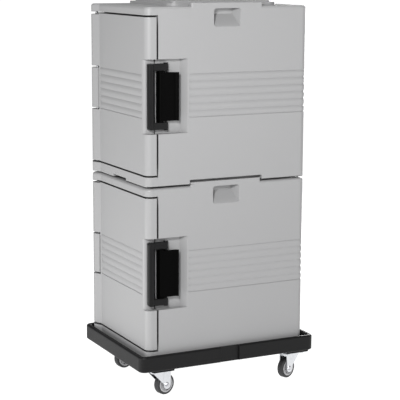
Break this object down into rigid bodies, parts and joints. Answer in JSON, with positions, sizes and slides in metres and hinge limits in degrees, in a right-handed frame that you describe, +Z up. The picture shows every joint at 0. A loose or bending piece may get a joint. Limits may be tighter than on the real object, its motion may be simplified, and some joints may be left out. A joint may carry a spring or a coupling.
{
  "type": "enclosed meal tray cart",
  "caption": "Stacked insulated front-loading pan carriers with hinged doors and side latches, carried on a swivel-caster dolly.",
  "frame": {"origin": "on the floor, below the middle of the dolly and of the carriers' boxes", "axes": "+Z up; -Y is the door side; +X is the latch side, and the hinges are at -X"},
  "size_m": [0.512, 0.69, 1.37],
  "materials": {
    "shell": "satin",
    "dolly": "matte",
    "latch": "satin",
    "zinc": "satin",
    "pin": "satin",
    "tyre": "matte",
    "hub": "satin",
    "gasket": "matte"
  },
  "bodies": {
    "dolly": {"dolly_tray": "dolly", "caster_bolts": "zinc", "caster_plate_1": "zinc", "caster_plate_2": "zinc", "caster_plate_3": "zinc", "caster_plate_4": "zinc"},
    "swivel_1": {"caster_fork_1": "zinc", "caster_axle_1": "pin"},
    "wheel_1": {"caster_hub_1": "hub", "caster_tyre_1": "tyre"},
    "swivel_2": {"caster_fork_2": "zinc", "caster_axle_2": "pin"},
    "wheel_2": {"caster_hub_2": "hub", "caster_tyre_2": "tyre"},
    "swivel_3": {"caster_fork_3": "zinc", "caster_axle_3": "pin"},
    "wheel_3": {"caster_hub_3": "hub", "caster_tyre_3": "tyre"},
    "swivel_4": {"caster_fork_4": "zinc", "caster_axle_4": "pin"},
    "wheel_4": {"caster_hub_4": "hub", "caster_tyre_4": "tyre"},
    "lower_carrier": {"lower_cabinet": "shell", "lower_hinge_pin": "pin", "lower_latch_base": "latch", "lower_latch_screws": "pin", "lower_latch_pivot": "pin"},
    "lower_door_leaf": {"lower_door": "shell", "lower_door_gasket": "gasket"},
    "lower_lever": {"lower_latch_lever": "latch"},
    "lower_bail": {"lower_latch_bail": "latch", "lower_latch_bail_pins": "pin"},
    "upper_carrier": {"upper_cabinet": "shell", "upper_hinge_pin": "pin", "upper_latch_base": "latch", "upper_latch_screws": "pin", "upper_latch_pivot": "pin"},
    "upper_door_leaf": {"upper_door": "shell", "upper_door_gasket": "gasket"},
    "upper_lever": {"upper_latch_lever": "latch"},
    "upper_bail": {"upper_latch_bail": "latch", "upper_latch_bail_pins": "pin"}
  },
  "joints": [
    {"name": "caster_swivel_1", "type": "hinge", "parent": "dolly", "child": "swivel_1", "pos_m": [-0.178, -0.247, 0.09], "axis": [0, 0, 1], "continuous": true},
    {"name": "caster_roll_1", "type": "hinge", "parent": "swivel_1", "child": "wheel_1", "pos_m": [-0.18321, -0.21746, 0.0375], "axis": [-0.9848, -0.1736, 0], "continuous": true},
    {"name": "caster_swivel_2", "type": "hinge", "parent": "dolly", "child": "swivel_2", "pos_m": [0.178, -0.247, 0.09], "axis": [0, 0, 1], "continuous": true},
    {"name": "caster_roll_2", "type": "hinge", "parent": "swivel_2", "child": "wheel_2", "pos_m": [0.17023, -0.21802, 0.0375], "axis": [-0.9659, -0.2588, 0], "continuous": true},
    {"name": "caster_swivel_3", "type": "hinge", "parent": "dolly", "child": "swivel_3", "pos_m": [-0.178, 0.295, 0.09], "axis": [0, 0, 1], "continuous": true},
    {"name": "caster_roll_3", "type": "hinge", "parent": "swivel_3", "child": "wheel_3", "pos_m": [-0.17279, 0.26546, 0.0375], "axis": [0.9848, 0.1736, 0], "continuous": true},
    {"name": "caster_swivel_4", "type": "hinge", "parent": "dolly", "child": "swivel_4", "pos_m": [0.178, 0.295, 0.09], "axis": [0, 0, 1], "continuous": true},
    {"name": "caster_roll_4", "type": "hinge", "parent": "swivel_4", "child": "wheel_4", "pos_m": [0.18924, 0.26718, 0.0375], "axis": [0.9272, 0.3746, 0], "continuous": true},
    {"name": "lower_carrier_lift", "type": "slide", "parent": "dolly", "child": "lower_carrier", "axis": [0, 0, 1], "range_m": [0, 0.2]},
    {"name": "lower_door_hinge", "type": "hinge", "parent": "lower_carrier", "child": "lower_door_leaf", "pos_m": [-0.2075, -0.304, 0.44685], "axis": [0, 0, -1], "range_deg": [0, 210]},
    {"name": "lower_latch_turn", "type": "hinge", "parent": "lower_carrier", "child": "lower_lever", "pos_m": [0.2185, -0.253, 0.44685], "axis": [0, 0, -1], "range_deg": [0, 100]},
    {"name": "lower_bail_turn", "type": "hinge", "parent": "lower_lever", "child": "lower_bail", "pos_m": [0.21676, -0.23308, 0.44685], "axis": [0, 0, 1], "range_deg": [0, 140]},
    {"name": "upper_carrier_lift", "type": "slide", "parent": "lower_carrier", "child": "upper_carrier", "axis": [0, 0, 1], "range_m": [0, 0.2]},
    {"name": "upper_door_hinge", "type": "hinge", "parent": "upper_carrier", "child": "upper_door_leaf", "pos_m": [-0.2075, -0.304, 1.05485], "axis": [0, 0, -1], "range_deg": [0, 210]},
    {"name": "upper_latch_turn", "type": "hinge", "parent": "upper_carrier", "child": "upper_lever", "pos_m": [0.2185, -0.253, 1.05485], "axis": [0, 0, -1], "range_deg": [0, 100]},
    {"name": "upper_bail_turn", "type": "hinge", "parent": "upper_lever", "child": "upper_bail", "pos_m": [0.21676, -0.23308, 1.05485], "axis": [0, 0, 1], "range_deg": [0, 140]}
  ],
  "couplings": [
    {"joint": "lower_bail_turn", "follows": "lower_latch_turn", "ratio": 1.4},
    {"joint": "upper_bail_turn", "follows": "upper_latch_turn", "ratio": 1.4}
  ]
}
